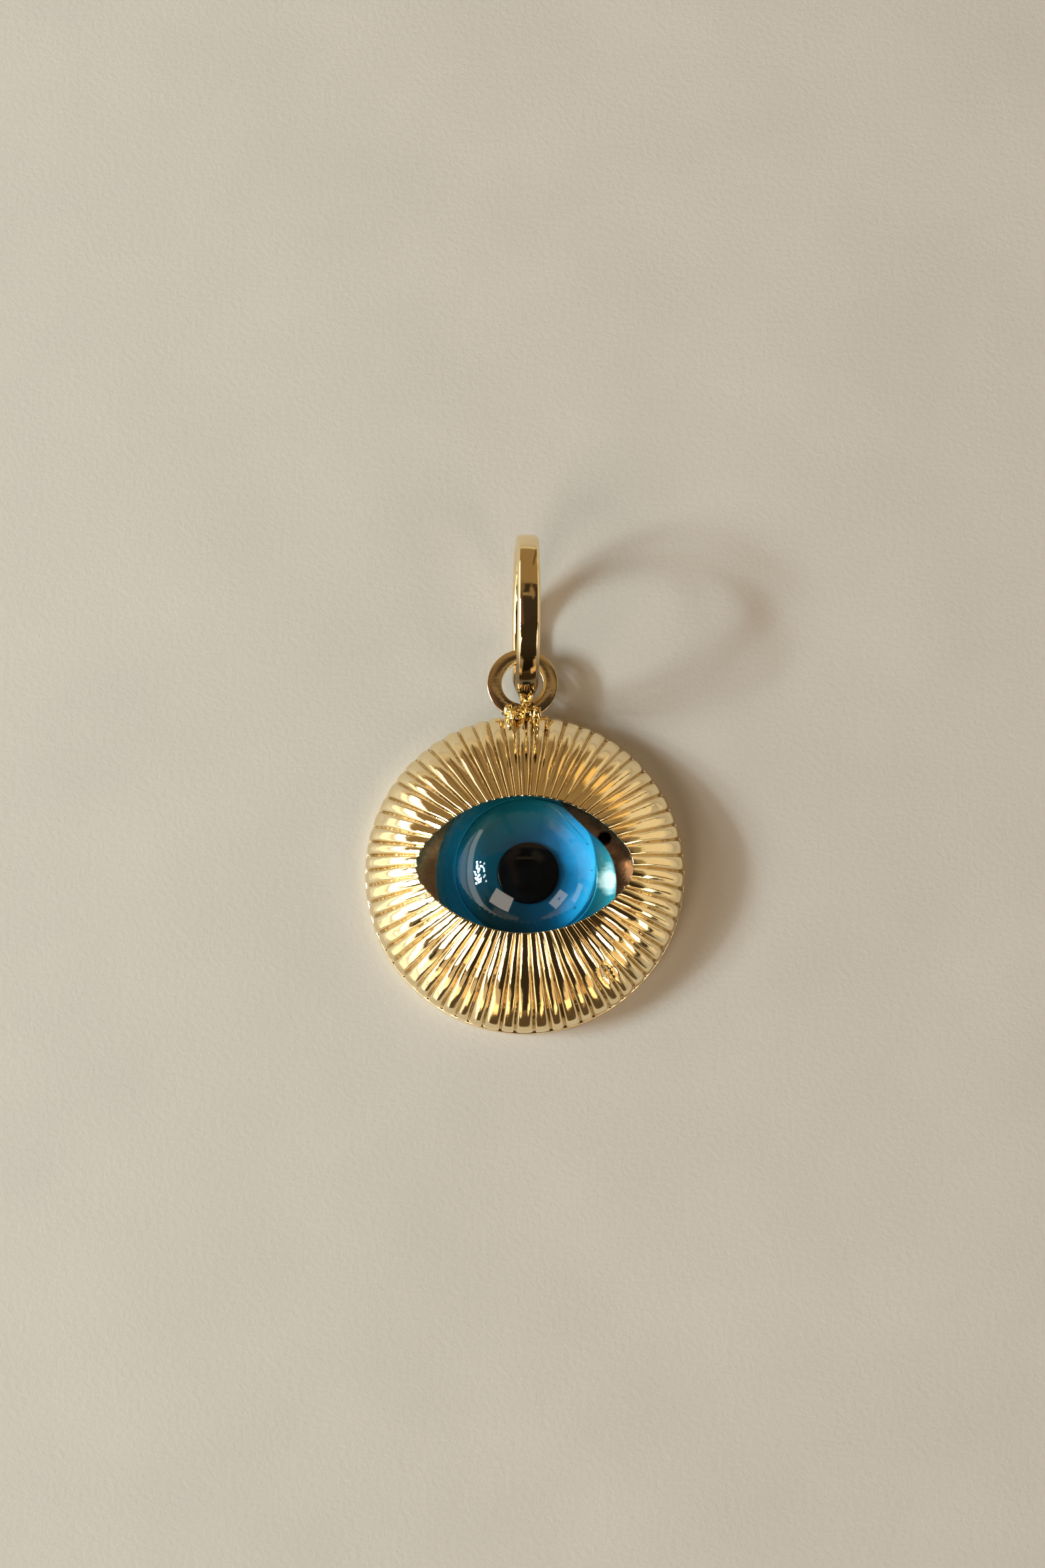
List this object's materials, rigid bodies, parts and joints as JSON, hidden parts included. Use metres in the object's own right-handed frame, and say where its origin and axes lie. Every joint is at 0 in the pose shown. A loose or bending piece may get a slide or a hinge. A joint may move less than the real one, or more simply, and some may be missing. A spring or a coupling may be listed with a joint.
{
  "type": "eye charm pendant",
  "caption": "Fluted round gold pendant with an almond opening over a domed blue glass eye, hung from a flat ring loop and a swinging oval bail.",
  "frame": {"origin": "centre of the back plate's flat back face", "axes": "+Z from the back towards the glass eye's front, +Y towards the hanging loop and bail, +X to the right seen from the front"},
  "size_m": [0.0216, 0.0331, 0.0089],
  "materials": {
    "gold_fluted": "diamond-cut polished gold plate",
    "gold_plate": "polished gold plate with fine rubbing marks",
    "gold_shaded": "smooth unpolished gold plate, warm brown in shade",
    "gold_polished": "mirror polished gold plate",
    "gold_solder": "lumpy bright gold solder",
    "glass_aqua": "clear aqua-blue glass, fire polished",
    "backing_teal": "opaque teal glass",
    "iris_blue": "azure glass",
    "pupil_black": "opaque black glass"
  },
  "bodies": {
    "pendant": {"front_cover": "gold_fluted", "back_plate": "gold_plate", "eye_seat": "gold_shaded", "eye_backing": "backing_teal", "glass_dome": "glass_aqua", "iris": "iris_blue", "pupil": "pupil_black", "hanging_loop": "gold_polished", "loop_solder": "gold_solder"},
    "bail": {"bail": "gold_polished", "bail_seam": "gold_solder"}
  },
  "joints": [
    {"name": "bail_swing", "type": "hinge", "parent": "pendant", "child": "bail", "pos_m": [0, 0.0134, 0.0015], "axis": [-1, 0, 0], "range_deg": [-4, 115]}
  ]
}
